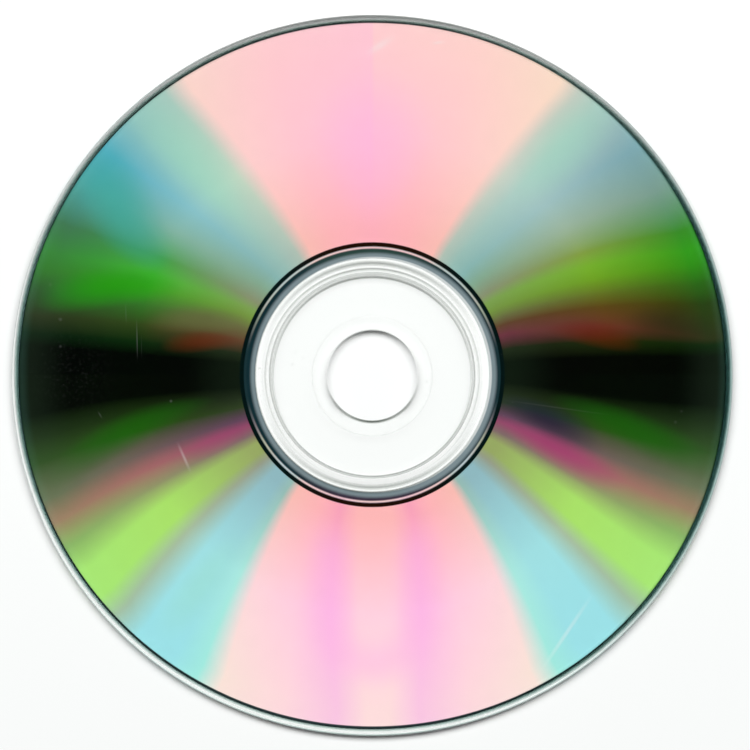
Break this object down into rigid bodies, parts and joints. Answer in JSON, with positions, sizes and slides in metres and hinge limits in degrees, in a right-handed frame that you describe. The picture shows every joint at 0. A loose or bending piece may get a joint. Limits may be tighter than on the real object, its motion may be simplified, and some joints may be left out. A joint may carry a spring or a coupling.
{
  "type": "compact disc",
  "caption": "Thin round clear plastic disc with a mirrored, iridescent data band, a stacking ring and a centre hole, for storing data read by a laser.",
  "frame": {"origin": "on the axis of the centre hole, on the surface that the disc lies on (the label side)", "axes": "+Z along the axis of the hole, out of the clear read side; +Y towards the top of the picture"},
  "size_m": [0.12, 0.12, 0.0014],
  "materials": {
    "clear_polycarbonate": "clear, polished",
    "mirror_film": "mirror-bright metal film over fine tracks, iridescent",
    "clear_lacquer": "clear gloss lacquer, silver from the film above it"
  },
  "bodies": {
    "root": {"substrate": "clear_polycarbonate", "reflective_layer": "mirror_film", "protective_lacquer": "clear_lacquer"}
  },
  "joints": []
}
